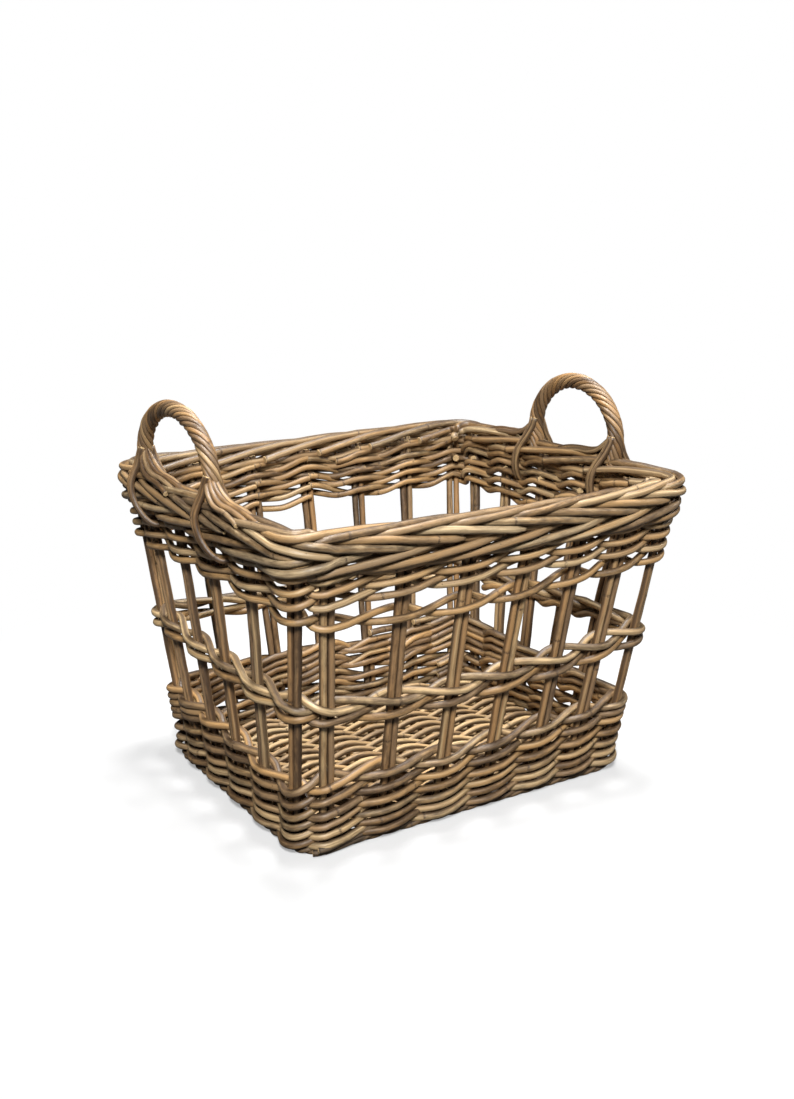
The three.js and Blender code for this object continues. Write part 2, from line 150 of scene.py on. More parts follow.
def on_ring(length, width, distance):
    """Point and outward direction at a distance along a rounded rectangle, counter-clockwise from the
    middle of its front side. The centre of the corner circle runs round the inner rectangle, and the
    point is that centre plus the corner radius times the outward direction. The second half turn is
    the first one with its sign changed."""
    straight_x = length / 2 - CORNER_RADIUS
    straight_y = width / 2 - CORNER_RADIUS
    arc = CORNER_RADIUS * math.pi / 2
    half_turn = 2 * (straight_x + straight_y + arc)
    sign = np.where(np.floor(distance / half_turn) % 2 == 0, 1.0, -1.0)[..., None]
    rest = distance % half_turn
    first_arc = np.clip(rest - straight_x, 0, arc)
    second_arc = np.clip(rest - straight_x - arc - 2 * straight_y, 0, arc)
    angle = (first_arc + second_arc) / CORNER_RADIUS
    outward = np.stack([np.sin(angle), -np.cos(angle)], axis=-1)
    way_back = np.clip(rest - straight_x - 2 * (arc + straight_y), 0, straight_x)
    centre_x = np.clip(rest, 0, straight_x) - way_back
    centre_y = np.clip(rest - straight_x - arc, 0, 2 * straight_y) - straight_y
    centre = np.stack([centre_x, centre_y], axis=-1)
    return sign * (centre + CORNER_RADIUS * outward), sign * outward


def stake_distances(length, width):
    """Distance along a ring of each stake, and of the first one again a turn later. A stake's offset
    from its side's middle becomes a distance by adding the angle of the corner that lies beyond the
    straight part."""
    straight_x = length / 2 - CORNER_RADIUS
    straight_y = width / 2 - CORNER_RADIUS
    arc = CORNER_RADIUS * math.pi / 2
    half_turn = 2 * (straight_x + straight_y + arc)
    found = []
    for side, (count, start_inset, end_inset, drift) in enumerate(SIDES):
        is_long = side % 2 == 0
        straight = straight_x if is_long else straight_y
        middle = side // 2 * half_turn + (0 if is_long else straight_x + arc + straight_y)
        part = np.arange(count) / (count - 1)
        start = start_inset - straight - CORNER_RADIUS
        end = straight + CORNER_RADIUS - end_inset
        offset = start + (end - start) * part * (1 + drift * (1 - part))
        beyond = np.maximum(0, np.abs(offset) - straight)
        along = np.minimum(np.abs(offset), straight) + CORNER_RADIUS * np.arcsin(beyond / CORNER_RADIUS)
        found.append(middle + np.sign(offset) * along)
    once = np.concatenate(found)
    return np.append(once, once[0] + 2 * half_turn)


# How far the weave has pulled stakes along the wall, at the ground and at the flare height, from
# where the frame has them: the stakes of the near sides lean a little the way the weave runs
LOWER_PULL = {0: -1.5, 1: -4.0, 2: -3.5, 3: -4.5, 4: 1.0, 23: -2.5}
UPPER_PULL = {0: 4.5, 1: 8.0, 2: 8.0, 3: 7.5, 4: 8.0, 5: 5.5, 6: 1.5, 22: 6.0, 23: 7.0}


def pulled(distances, pull):
    """Stake distances with the pull of the weave added."""
    shift = np.array([pull.get(stake % STAKES, 0.0) for stake in range(STAKES + 1)])
    return distances + shift


LOWER_STAKES = pulled(stake_distances(BASE_LENGTH, BASE_WIDTH), LOWER_PULL)
UPPER_STAKES = pulled(stake_distances(UPPER_LENGTH, UPPER_WIDTH), UPPER_PULL)


def unit(vectors):
    """Vectors divided by their lengths."""
    return vectors / np.linalg.norm(vectors, axis=-1, keepdims=True)


def wall_frame(station, height):
    """Middle of the wall and its outward direction in plan, at a station and a height: the points
    of the two rings at that station, mixed by the height."""
    local = np.asarray(station, dtype=float) % STAKES
    stakes = np.arange(STAKES + 1)
    low, low_out = on_ring(BASE_LENGTH, BASE_WIDTH, np.interp(local, stakes, LOWER_STAKES))
    high, high_out = on_ring(UPPER_LENGTH, UPPER_WIDTH, np.interp(local, stakes, UPPER_STAKES))
    rise = (np.asarray(height, dtype=float) / FLARE_HEIGHT)[..., None]
    return low + (high - low) * rise, unit(low_out + (high_out - low_out) * rise)


def on_wall(station, across, height, along=0.0):
    """Points at stations, distances across the wall and heights, moved along the wall by an amount."""
    station, across, height, along = np.broadcast_arrays(*np.atleast_1d(station, across, height, along))
    plan, outward = wall_frame(station, height)
    tangent = np.stack([-outward[..., 1], outward[..., 0]], axis=-1)
    plan = plan + across[..., None] * outward + along[..., None] * tangent
    return np.concatenate([plan, height[..., None]], axis=-1)


def level_outward(station, height):
    """Outward directions with no rise."""
    outward = wall_frame(station, height)[1]
    return np.concatenate([outward, np.zeros((len(outward), 1))], axis=1)


def space_length(station, height):
    """Length of wall between the stakes on both sides of a station."""
    before = np.floor(station).astype(int) % STAKES
    lower = np.diff(LOWER_STAKES)[before]
    upper = np.diff(UPPER_STAKES)[before]
    return lower + (upper - lower) * height / FLARE_HEIGHT


def station_past(stake, step, height):
    """Station that lies a real length past a stake."""
    return stake + step / float(space_length(np.array([stake]), height)[0])


def smooth_curve(at, knots, values):
    """Smooth curve through values at knots: cubic pieces whose slope at a knot is that of the line
    between its neighbours."""
    knots = np.asarray(knots, dtype=float)
    values = np.asarray(values, dtype=float)
    slopes = np.gradient(values, knots)
    k = np.clip(np.searchsorted(knots, at, side="right") - 1, 0, len(knots) - 2)
    span = knots[k + 1] - knots[k]
    t = np.clip((at - knots[k]) / span, 0, 1)
    a = 2 * t**3 - 3 * t**2 + 1
    b = t**3 - 2 * t**2 + t
    c = 3 * t**2 - 2 * t**3
    d = t**3 - t**2
    return a * values[k] + b * span * slopes[k] + c * values[k + 1] + d * span * slopes[k + 1]


def smooth_step(t):
    """Rise from 0 to 1 with level ends: three times the square less twice the cube."""
    t = np.clip(t, 0, 1)
    return t * t * (3 - 2 * t)


def sway(rng, at, wavelength, amount):
    """Gentle irregular bend: three sine waves of falling length and height with random starts."""
    total = np.zeros_like(at, dtype=float)
    for k in (1, 2, 3):
        total = total + np.sin(2 * math.pi * k * at / wavelength + rng.uniform(0, 2 * math.pi)) / k
    return amount * total / 1.5


def turn_curve(station, values):
    """Closed smooth curve round the basket through one value per stake."""
    again = np.concatenate([values[-2:], values, values[:3]])
    return smooth_curve(station % STAKES, np.arange(-2, STAKES + 3), again)


def by_side(front, right, back, left):
    """One value per stake, from those of each side's stakes."""
    return np.array([*front, *right, *back, *left], dtype=float)


# Canes


def lengths_along(path):
    """Length along a path from its start to each of its points."""
    return np.append(0, np.cumsum(np.linalg.norm(np.diff(path, axis=0), axis=1)))


def resampled(at, lengths, vectors):
    """Vectors known at some lengths, read at others along straight lines between them."""
    return np.stack([np.interp(at, lengths, vectors[:, k]) for k in range(3)], axis=1)


def with_ends_twice(values):
    """Values with the first and the last one given a second time."""
    return np.concatenate([values[:1], values, values[-1:]])


class Canes:
    """Canes gathered into one mesh. Each point keeps the cane's own straight coordinates (the
    direction round it and the length along it), the cane's random character, and the distance to its
    nearest leaf scar, for the finish to read."""

    def __init__(self, seed):
        self.rng = np.random.default_rng(seed)
        self.points = []
        self.grain = []
        self.character = []
        self.scar = []
        self.quads = []
        self.quad_slots = []
        self.caps = []
        self.count = 0

    def add(self, path, radius, towards, step=4.0, sides=12, bend=0.35, scar_pitch=320.0, taper=0.0):
        """Round cane along a path, with one radius or one for each point of the path. Ring k is
        centred on the path, and corner j lies at the radius times cos(angle j) * side +
        sin(angle j) * up, where side is the path's direction crossed with the way that the cane's
        back faces. The ends are cut square with a small chamfer, and the last one can be pared down
        over a length."""
        rng = self.rng
        lengths = lengths_along(path)
        total = lengths[-1]
        count = max(4, int(total / step) + 1)
        at = np.linspace(0, total, count)
        line = resampled(at, lengths, path)
        back = resampled(at, lengths, np.broadcast_to(towards, path.shape))
        tangent = unit(np.gradient(line, axis=0))
        side = unit(np.cross(tangent, back))
        up = np.cross(side, tangent)
        hold = np.minimum(1, np.minimum(at, total - at) / STILL_END)[:, None]
        side_bend = side * sway(rng, at, SIDE_WAVE, bend)[:, None]
        up_bend = up * sway(rng, at, UP_WAVE, bend)[:, None]
        line = line + hold * (side_bend + up_bend)

        scars = np.cumsum(rng.uniform(*SCAR_SPACING, int(total / scar_pitch) + 3) * scar_pitch)
        scars = scars - rng.uniform(0, 1) * scar_pitch
        scars = at[np.clip(np.round(scars / total * (count - 1)).astype(int), 0, count - 1)]
        apart = np.min(np.abs(at[:, None] - scars[None, :]), axis=1)
        swelling = 1 + SCAR_SWELLING * np.exp(-((apart / SCAR_WIDTH) ** 2))
        radius = np.interp(at, lengths, np.broadcast_to(radius, lengths.shape))
        girth = radius * (1 + GIRTH_PLAY * sway(rng, at, GIRTH_WAVE, 1.0)) * swelling
        if taper:
            girth = girth * (1 - PARED_AWAY * smooth_step((at - total + taper) / taper))

        chamfer = CHAMFER * radius[0]
        line = np.concatenate([line[:1] - tangent[:1] * chamfer, line, line[-1:] + tangent[-1:] * chamfer])
        girth = np.concatenate([[girth[0] * CUT_GIRTH], girth, [girth[-1] * CUT_GIRTH]])
        at = np.concatenate([[-chamfer], at, [total + chamfer]])
        side = with_ends_twice(side)
        up = with_ends_twice(up)
        apart = with_ends_twice(apart)
        rings = count + 2

        angle = 2 * math.pi * np.arange(sides) / sides
        ovality = 1 + OVALITY * rng.uniform(-1, 1) * np.cos(2 * angle)
        cos = np.cos(angle) * ovality
        sin = np.sin(angle) * ovality
        spokes = cos[:, None] * side[:, None] + sin[:, None] * up[:, None]
        points = line[:, None] + girth[:, None, None] * spokes
        offset = rng.uniform(0, GRAIN_SPREAD)
        grain = np.stack(np.broadcast_arrays(cos, sin, at[:, None] + offset), axis=-1)
        character = rng.uniform(0, 1, 3)
        self.points.append(points.reshape(-1, 3))
        self.grain.append(grain.reshape(-1, 3))
        self.character.append(np.broadcast_to(character, (rings * sides, 3)))
        self.scar.append(np.repeat(apart, sides))

        ring, corner = np.meshgrid(np.arange(rings - 1), np.arange(sides), indexing="ij")
        following = (corner + 1) % sides
        here = self.count + ring * sides
        ahead = here + sides
        quads = np.stack([ahead + corner, ahead + following, here + following, here + corner], axis=-1)
        self.quads.append(quads.reshape(-1, 4))
        is_end = (ring == 0) | (ring == rings - 2)
        self.quad_slots.append(is_end.astype(int).reshape(-1))
        first_cap = self.count + np.arange(sides)
        last_cap = first_cap[::-1] + (rings - 1) * sides
        self.caps += [first_cap, last_cap]
        self.count += rings * sides

    def piece(self, name, finish, slot, *nodes):
        """One object of all the canes: it rides on the basket, and stands for the frame's nodes."""
        mesh = bpy.data.meshes.new(name)
        points = np.concatenate(self.points) * MM
        quads = np.concatenate(self.quads)
        loops = np.concatenate([quads.reshape(-1), *self.caps])
        sizes = np.concatenate([np.full(len(quads), 4), [len(cap) for cap in self.caps]]).astype(int)
        mesh.vertices.add(len(points))
        mesh.vertices.foreach_set("co", points.reshape(-1))
        mesh.loops.add(len(loops))
        mesh.loops.foreach_set("vertex_index", loops)
        mesh.polygons.add(len(sizes))
        mesh.polygons.foreach_set("loop_start", np.append(0, np.cumsum(sizes)[:-1]))
        slots = np.concatenate([*self.quad_slots, np.ones(len(self.caps), dtype=int)])
        mesh.polygons.foreach_set("material_index", slots)
        mesh.update(calc_edges=True)
        mesh.validate()
        smooth = np.concatenate([np.ones(len(quads), dtype=bool), np.zeros(len(self.caps), dtype=bool)])
        mesh.polygons.foreach_set("use_smooth", smooth)
        for label, kind, field, values in (
            ("grain", "FLOAT_VECTOR", "vector", self.grain),
            ("character", "FLOAT_VECTOR", "vector", self.character),
            ("scar", "FLOAT", "value", self.scar),
        ):
            layer = mesh.attributes.new(label, kind, "POINT")
            layer.data.foreach_set(field, np.concatenate(values).reshape(-1))
        mesh.materials.append(finish)
        mesh.materials.append(CUT_END)
        thing = bpy.data.objects.new(name, mesh)
        bpy.context.scene.collection.objects.link(thing)
        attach(thing, "root")
        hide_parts(*nodes)


# Finishes


class Value:
    """A shader socket that Python's operators work on: each operation adds its Math node."""

    def __init__(self, nodes, socket):
        self.nodes = nodes
        self.socket = socket

    def _math(self, operation, *inputs):
        return self.nodes.node("ShaderNodeMath", {"operation": operation}, dict(enumerate(inputs)))

    def __add__(self, other):
        return self._math("ADD", self, other)

    def __radd__(self, other):
        return self._math("ADD", other, self)

    def __sub__(self, other):
        return self._math("SUBTRACT", self, other)

    def __rsub__(self, other):
        return self._math("SUBTRACT", other, self)

    def __mul__(self, other):
        return self._math("MULTIPLY", self, other)

    def __rmul__(self, other):
        return self._math("MULTIPLY", other, self)


class Nodes:
    """A shader under construction, with one method that adds any node."""

    def __init__(self, tree):
        self.tree = tree
        self.tree.nodes.clear()

    def node(self, kind, settings=None, inputs=None, output=0):
        """Node of a kind with its settings, then the values or links of its sockets."""
        made = self.tree.nodes.new(kind)
        for key, value in (settings or {}).items():
            setattr(made, key, value)
        for key, value in (inputs or {}).items():
            if isinstance(value, Value):
                self.tree.links.new(value.socket, made.inputs[key])
            else:
                made.inputs[key].default_value = value
        return Value(self, made.outputs[output]) if made.outputs else None


class Finish(Nodes):
    """A material under construction."""

    def __init__(self, name):
        self.material = bpy.data.materials.new(name)
        self.material.use_nodes = True
        super().__init__(self.material.node_tree)

    def attribute(self, name, output):
        return self.node("ShaderNodeAttribute", {"attribute_name": name}, output=output)

    def streaks(self, grain, across, along, detail, roughness):
        """Noise on the cane's own coordinates, which are scaled round it and along it."""
        scales = (across, across, along)
        place = self.node("ShaderNodeVectorMath", {"operation": "MULTIPLY"}, {0: grain, 1: scales})
        sockets = {"Vector": place, "Scale": 1.0, "Detail": detail, "Roughness": roughness}
        return self.node("ShaderNodeTexNoise", {"normalize": True}, sockets, output="Fac")

    def between(self, value, low, high, to_low=0.0, to_high=1.0):
        sockets = {"Value": value, "From Min": low, "From Max": high, "To Min": to_low, "To Max": to_high}
        return self.node("ShaderNodeMapRange", {"interpolation_type": "SMOOTHSTEP"}, sockets)

    def mix(self, factor, first, second):
        return self.node("ShaderNodeMix", {"data_type": "RGBA"}, {0: factor, 6: first, 7: second}, output=2)

    def part(self, vector, axis):
        return self.node("ShaderNodeSeparateXYZ", {}, {0: vector}, output=axis)

    def finish(self, colour, roughness, height, distance, specular=0.5):
        bump = self.node("ShaderNodeBump", {}, {"Height": height, "Distance": distance, "Strength": 1.0})
        shader = self.node(
            "ShaderNodeBsdfPrincipled",
            {},
            {"Base Color": colour, "Roughness": roughness, "Normal": bump, "Specular IOR Level": specular},
        )
        self.node("ShaderNodeOutputMaterial", {}, {"Surface": shader})
        return self.material


def srgb(red, green, blue):
    """Colour written as 0 to 255 in the usual display space, as the shader's linear colour."""
    parts = np.array([red, green, blue]) / 255
    linear = np.where(parts <= 0.04045, parts / 12.92, ((parts + 0.055) / 1.055) ** 2.4)
    return (*(float(part) for part in linear), 1.0)


def cane_finish(name, dark, warm, grey, pale, paleness, roughness, flank_shade=0.85):
    """Skin of a rattan cane: each cane has its own share of warm, grey and pale colour, with streaks
    and blotches along it, fine fibres, dark specks and a dark line round each leaf scar. Its flanks,
    where canes lie in grooves beside each other, are darkened with painted shade."""
    f = Finish(name)
    grain = f.attribute("grain", "Vector")
    character = f.attribute("character", "Vector")
    warmth, value, whiteness = (f.part(character, axis) for axis in "XYZ")
    scar = f.attribute("scar", "Fac")

    streak = f.streaks(grain, across=2.6, along=0.018, detail=4.0, roughness=0.6)
    blotch = f.streaks(grain, across=0.7, along=0.022, detail=3.0, roughness=0.6)
    fibre = f.streaks(grain, across=9.0, along=0.06, detail=3.0, roughness=0.65)
    stain = f.streaks(grain, across=0.9, along=0.05, detail=4.0, roughness=0.7)
    speck = f.streaks(grain, across=3.0, along=0.5, detail=2.0, roughness=0.5)

    colour = f.mix(f.between(warmth * 0.5 + blotch * 0.75, 0.35, 0.9), grey, warm)
    palest = f.between(whiteness * 0.4 + streak * 0.9, 0.46 + 0.3 * (1 - paleness), 1.05)
    colour = f.mix(palest, colour, pale)
    darkest = f.between((1 - value) * 0.45 + stain * 0.95, 0.58, 1.05)
    colour = f.mix(darkest * 0.8, colour, dark)
    colour = f.mix(f.between(fibre, 0.35, 0.75, 0.0, 0.35), colour, dark)
    colour = f.mix(f.between(speck, 0.68, 0.76, 0.0, 0.75), colour, dark)
    ring = f.between(scar, 0.4, 2.4, 1.0, 0.0)
    colour = f.mix(ring * f.between(speck, 0.35, 0.6, 0.1, 0.8), colour, dark)
    # Painted shade: each cane's flanks, where it lies against its neighbours, are darkened towards the dark
    # colour
    flank = f.node("ShaderNodeMath", {"operation": "ABSOLUTE"}, {0: f.part(grain, "X")})
    colour = f.mix(f.between(flank + (blotch - 0.5) * 0.3, 0.6, 1.02, 0.0, flank_shade), colour, dark)

    rough = roughness + (stain - 0.5) * 0.25 + ring * 0.1
    height = fibre * 0.5 + streak * 0.3 + stain * 0.4 - ring * 0.6
    return f.finish(colour, rough, height, distance=0.0004)


def cut_end_finish():
    """Cut end of a cane: pale open pith with dark pores."""
    f = Finish("cut_cane_end")
    grain = f.attribute("grain", "Vector")
    pores = f.streaks(grain, across=6.0, along=2.0, detail=3.0, roughness=0.7)
    colour = f.mix(f.between(pores, 0.45, 0.7), srgb(196, 168, 124), srgb(112, 86, 56))
    return f.finish(colour, 0.8, pores, distance=0.0003, specular=0.2)


CUT_END = cut_end_finish()
DARK = srgb(54, 39, 27)
STAKE_SKIN = cane_finish(
    "stake_cane_skin",
    dark=DARK,
    warm=srgb(167, 128, 83),
    grey=srgb(137, 110, 80),
    pale=srgb(193, 165, 121),
    paleness=0.35,
    roughness=0.50,
)
WEAVER_SKIN = cane_finish(
    "weaver_cane_skin",
    dark=DARK,
    warm=srgb(175, 137, 89),
    grey=srgb(149, 121, 88),
    pale=srgb(203, 177, 133),
    paleness=0.5,
    roughness=0.48,
)
BORDER_SKIN = cane_finish(
    "border_cane_skin",
    dark=DARK,
    warm=srgb(165, 130, 86),
    grey=srgb(143, 119, 89),
    pale=srgb(198, 175, 136),
    paleness=0.5,
    roughness=0.46,
)
HANDLE_SKIN = cane_finish(
    "handle_cane_skin",
    dark=DARK,
    warm=srgb(158, 121, 78),
    grey=srgb(132, 107, 79),
    pale=srgb(180, 153, 112),
    paleness=0.3,
    roughness=0.45,
)
FLOOR_SKIN = cane_finish(
    "floor_cane_skin",
    dark=DARK,
    warm=srgb(187, 150, 100),
    grey=srgb(163, 134, 95),
    pale=srgb(211, 185, 138),
    paleness=0.6,
    roughness=0.6,
    flank_shade=0.8,
)
# Painted shade: the foot canes are coloured much darker than the others, for the shade at the base under the
# flared wall
SHADED_FOOT_SKIN = cane_finish(
    "foot_cane_skin",
    dark=srgb(40, 30, 21),
    warm=srgb(112, 88, 60),
    grey=srgb(92, 76, 57),
    pale=srgb(140, 116, 84),
    paleness=0.2,
    roughness=0.65,
)


# Stakes


def stake_pair(stake):
    """Two upright canes side by side: straight lines up the wall, each with its own slight bend, half
    a sine wave over its height."""
    canes = Canes(100 + stake)
    node = f"stake_pair_{stake + 1:02d}"
    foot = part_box(node)[0].z / MM
    height = np.linspace(foot, BORDER_HEIGHT - 2, 60)
    outward = wall_frame(stake, height[:1])[1][0]
    for side in (-1, 1):
        lean = canes.rng.uniform(-0.5, 0.5)
        along = side * STAKE_HALF_SPACING + lean * np.sin(math.pi * (height - foot) / (height[-1] - foot))
        path = on_wall(stake, canes.rng.uniform(-0.3, 0.3), height, along)
        radius = STAKE_RADIUS * canes.rng.uniform(0.95, 1.03)
        canes.add(path, radius, (*outward, 0.0), step=6.0, bend=0.25, scar_pitch=360)
    canes.piece(f"stake_canes_{stake + 1:02d}", STAKE_SKIN, "stake_cane", node)


for stake in range(STAKES):
    stake_pair(stake)


# Weavers

# How far a weaver rises, and the share of a stake space in which it falls. Its swing across the wall
# waits beside each stake, on one side for a share of the space and on the other for a length, and
# the flanks of the swing are drawn nearly straight
WEAVER_RISE = 10.4
WEAVER_FALL_SHARE = 0.6
WEAVER_HOLD = 0.14
WEAVER_FLAT = 3.0
WEAVER_STRAIGHTNESS = 0.95

# Play of the rise and of the level: wavelength in stake spaces, and amount
RISE_WAVE = 5.0
RISE_PLAY = 0.2
LEVEL_WAVE = 9.0
LEVEL_PLAY = 0.8

# At a splice both canes run on past the stake by this many stake spaces, and the old one leaves the
# weave over its last part, inwards and down
SPLICE_LENGTH = 0.45
SPLICE_LEAVING = 0.75
SPLICE_INWARDS = 5.5
SPLICE_DOWN = 3.0

# Stakes of the front where no cane of the open bands ends
WHOLE_STAKES = (0, 1, 2, 3, 4, 5)

# Lower band: how far it strays from its level at each stake, and how thick its canes are in percent.
# The lowest row has the least share of the stray, one share where the band rises and another where
# it sinks. That row is flared outwards, and rises and falls less
LOWER_STRAY = by_side(
    (2, 1, -3, 0, 3, 6, 8),
    (7, 5, 5, 8, 12),
    (14, 13, 11, 9, 8, 6, 4),
    (4, 1, 0, -4, -6),
)
LOWER_GIRTH = by_side(
    (100, 100, 100, 100, 100, 100, 101),
    (102, 103, 104, 105, 106),
    (106, 106, 106, 106, 105, 104, 103),
    (102, 101, 100, 100, 100),
)
LEAST_RISING_SHARE = 0.15
LEAST_SINKING_SHARE = 0.6
FOOT_FLARE = 3.5
LOWEST_RISE = 0.7

# Short extra rows that fill the lower band where it is taller, on the right and back walls: the first
# and the last stake counted from the seam, the height, and the share of the band's stray
FILLING_ROWS = ((14, 28, 70.0, 0.92), (17, 27, 54.0, 0.75))

# Middle band: its stray, and how deeply its strands wind round each other in percent
MIDDLE_STRAY = by_side(
    (-1, -7, -11, -8, -5, 1, 8),
    (7, 4, 0, -3, -4),
    (-3, 0, 2, 0, -2, 2, 6),
    (8, 4, 3, 3, 4),
)
MIDDLE_WINDING = by_side(
    (90, 100, 100, 100, 100, 100, 100),
    (95, 90, 85, 85, 85),
    (90, 95, 100, 100, 90, 75, 65),
    (55, 55, 55, 60, 75),
)

# Upper band: the stray of its first row, of which the rows above lose a share, how much closer to the
# border the rows between the first and the last one lie, and how tightly all of them are packed
# towards the border in percent. Above the calm row the canes rise and fall less
UPPER_STRAY = by_side(
    (-3, -8, -10, -8, -5, -2, 0),
    (1, 0, -1, -1, 0),
    (1, 0, -1, 0, 1, 1, 1),
    (1, 4, 8, 8, 5),
)
UPPER_LOSS = 0.85
UPPER_TIGHT = by_side(
    (6, 7, 7, 6, 4, 2, 0),
    (0, 0, 0, 0, 0),
    (0, 0, 0, 0, 0, 0, 0),
    (0, 0, 1, 3, 5),
)
TIGHT_END = 5.4
UPPER_PACKING = by_side(
    (100, 100, 100, 100, 100, 99, 97),
    (93, 89, 86, 84, 82),
    (81, 81, 82, 84, 86, 89, 92),
    (95, 98, 100, 100, 100),
)
CALM_ROW = 4
CALM_LOSS = 0.5


def straightened(angle):
    """Cosine whose flanks are drawn nearly straight: arc sine of a share of the cosine, from -1 to 1."""
    return np.arcsin(WEAVER_STRAIGHTNESS * np.cos(angle)) / math.asin(WEAVER_STRAIGHTNESS)


def climb(spaces):
    """Height of a strand from 0 to 1 over two stake spaces: it falls quickly in the first part of
    the first space and climbs steadily over the rest."""
    part = np.asarray(spaces, dtype=float) % 2
    falling = part / WEAVER_FALL_SHARE
    climbing = 1 + (part - WEAVER_FALL_SHARE) / (2 - WEAVER_FALL_SHARE)
    return (1 + np.cos(math.pi * np.where(part < WEAVER_FALL_SHARE, falling, climbing))) / 2


def weaver_cane(canes, first, last, splices, rows, twist, stray):
    """One strand of a pair, from one stake to another counted from the seam. It swings across the
    wall as a straightened cosine: behind the first stake, in front of the next one. Behind a stake
    it is at its highest, then drops behind its partner and climbs again past the next stake, or the
    other way round with a left twist. With a right twist the swing across waits a share of the space
    after each stake, so that the rising strand passes outside the falling one, and with a left twist
    it waits so before each stake. The strand climbs a row in the last space of each turn. At a
    splice, behind a stake, its cane ends inside the basket and the next one starts."""
    rng = canes.rng
    ends = [first] + [place + SPLICE_LENGTH for place in splices] + [last]
    starts = [first] + [place - SPLICE_LENGTH for place in splices]
    top = len(rows) - 1
    row_before = 2 * rows[0] - rows[min(1, top)]
    away = STAKE_RADIUS + WEAVER_RADIUS - PRESS
    for k, start in enumerate(starts):
        end = ends[k + 1]
        local = np.linspace(start, end, int((end - start) * 30) + 4)
        station = SEAM + local
        turn = np.floor(local / STAKES) + smooth_step(local % STAKES - (STAKES - 1))
        row = np.clip(turn, 0, top)
        level = smooth_curve(row, np.arange(-1, len(rows) + 1), (row_before, *rows, rows[-1]))
        drift = turn_curve(station, stray)

        space = space_length(station, level)
        wait_after = WEAVER_HOLD * space if twist > 0 else WEAVER_FLAT
        wait_before = WEAVER_FLAT if twist > 0 else WEAVER_HOLD * space
        part = np.clip(((local % 1) * space - wait_after) / (space - wait_after - wait_before), 0, 1)
        swing = np.floor(local) - first + part
        leave = smooth_step((local - end + SPLICE_LEAVING) / SPLICE_LEAVING) if k < len(splices) else 0.0
        across = -away * straightened(math.pi * swing) - SPLICE_INWARDS * leave
        rise = WEAVER_RISE * (climb((local - first) * twist) - climb(1.0))
        rise = rise * (1 + RISE_PLAY * sway(rng, local, RISE_WAVE, 1.0))

        share = 1 - UPPER_LOSS * smooth_step(row)
        thickness = 1.0
        if stray is LOWER_STRAY:
            least = np.where(drift > 0, LEAST_RISING_SHARE, LEAST_SINKING_SHARE)
            share = least + (1 - least) * row / top
            across = across + FOOT_FLARE * np.clip(1 - row, 0, 1)
            rise = rise * (LOWEST_RISE + (1 - LOWEST_RISE) * smooth_step(row / 2))
            thickness = turn_curve(station, LOWER_GIRTH) / 100
        if stray is MIDDLE_STRAY:
            rise = rise * turn_curve(station, MIDDLE_WINDING) / 100
        if stray is UPPER_STRAY:
            level = rows[-1] - (rows[-1] - level) * turn_curve(station, UPPER_PACKING) / 100
            is_between = smooth_step(row) * smooth_step(TIGHT_END - row)
            level = level + is_between * turn_curve(station, UPPER_TIGHT)
            rise = rise * (1 - CALM_LOSS * smooth_step(row - CALM_ROW))
        level = level + rise + share * drift
        level = level + sway(rng, local, LEVEL_WAVE, LEVEL_PLAY) - SPLICE_DOWN * leave
        radius = WEAVER_RADIUS * rng.uniform(0.93, 1.06) * thickness
        canes.add(on_wall(station, across, level), radius, level_outward(station, level), bend=0.3)


def weave_band(name, turns, rows, twist, stray, seed):
    """A band's canes, in courses of some turns, each course a pair of strands. The last course of the
    lower band holds its filling rows as well."""
    from_stake = 0
    for course, count in enumerate(turns):
        is_top = course == len(turns) - 1
        to_stake = from_stake + count * STAKES - (2 if is_top and len(turns) > 1 else 0)
        suffix = f"_course_{course + 1}" if len(turns) > 1 else ""
        for letter, shift in (("a", 0), ("b", 1)):
            canes = Canes(seed + 10 * course + shift)
            first = from_stake + shift
            last = to_stake + shift
            spaces = np.cumsum(canes.rng.integers(4, 8, size=12)) * 2
            splices = [first + int(place) for place in spaces if first + place < last - 3]
            if stray is not LOWER_STRAY:
                splices = [place for place in splices if (SEAM + place) % STAKES not in WHOLE_STAKES]
            weaver_cane(canes, first, last, splices, rows, twist, stray)
            if stray is LOWER_STRAY and is_top:
                for start, end, height, share in FILLING_ROWS:
                    weaver_cane(canes, start + shift, end + shift, [], (height,), twist, share * stray)
            node = f"{name}{suffix}_{letter}"
            canes.piece(node.replace("weaver", "weaver_canes"), WEAVER_SKIN, "weaver_cane", node)
        from_stake = to_stake


weave_band("lower_weaver", (3, 3), LOWER_ROWS, 1, LOWER_STRAY, 200)
weave_band("middle_lower_weaver", (1,), MIDDLE_LOWER_ROW, 1, MIDDLE_STRAY, 300)
weave_band("middle_upper_weaver", (1,), MIDDLE_UPPER_ROW, -1, MIDDLE_STRAY, 320)
weave_band("upper_weaver", (1, 1, 2, 2), UPPER_ROWS, 1, UPPER_STRAY, 400)


# Rolled border

# The border strays from its level at the stakes as well, and is highest at the corner near the viewer
BORDER_STRAY = by_side((5, 2, 0, -1, -1, 0, 3), (3, 1, 0, 0, 0), (0, 0, 0, 0, 0, 0, 0), (0, 0, 1, 3, 6))

# How far the canes cut across the inside of a corner, and the depth from which they do so fully
CORNER_CUT = 19.0
CORNER_CUT_DEPTH = 8.0

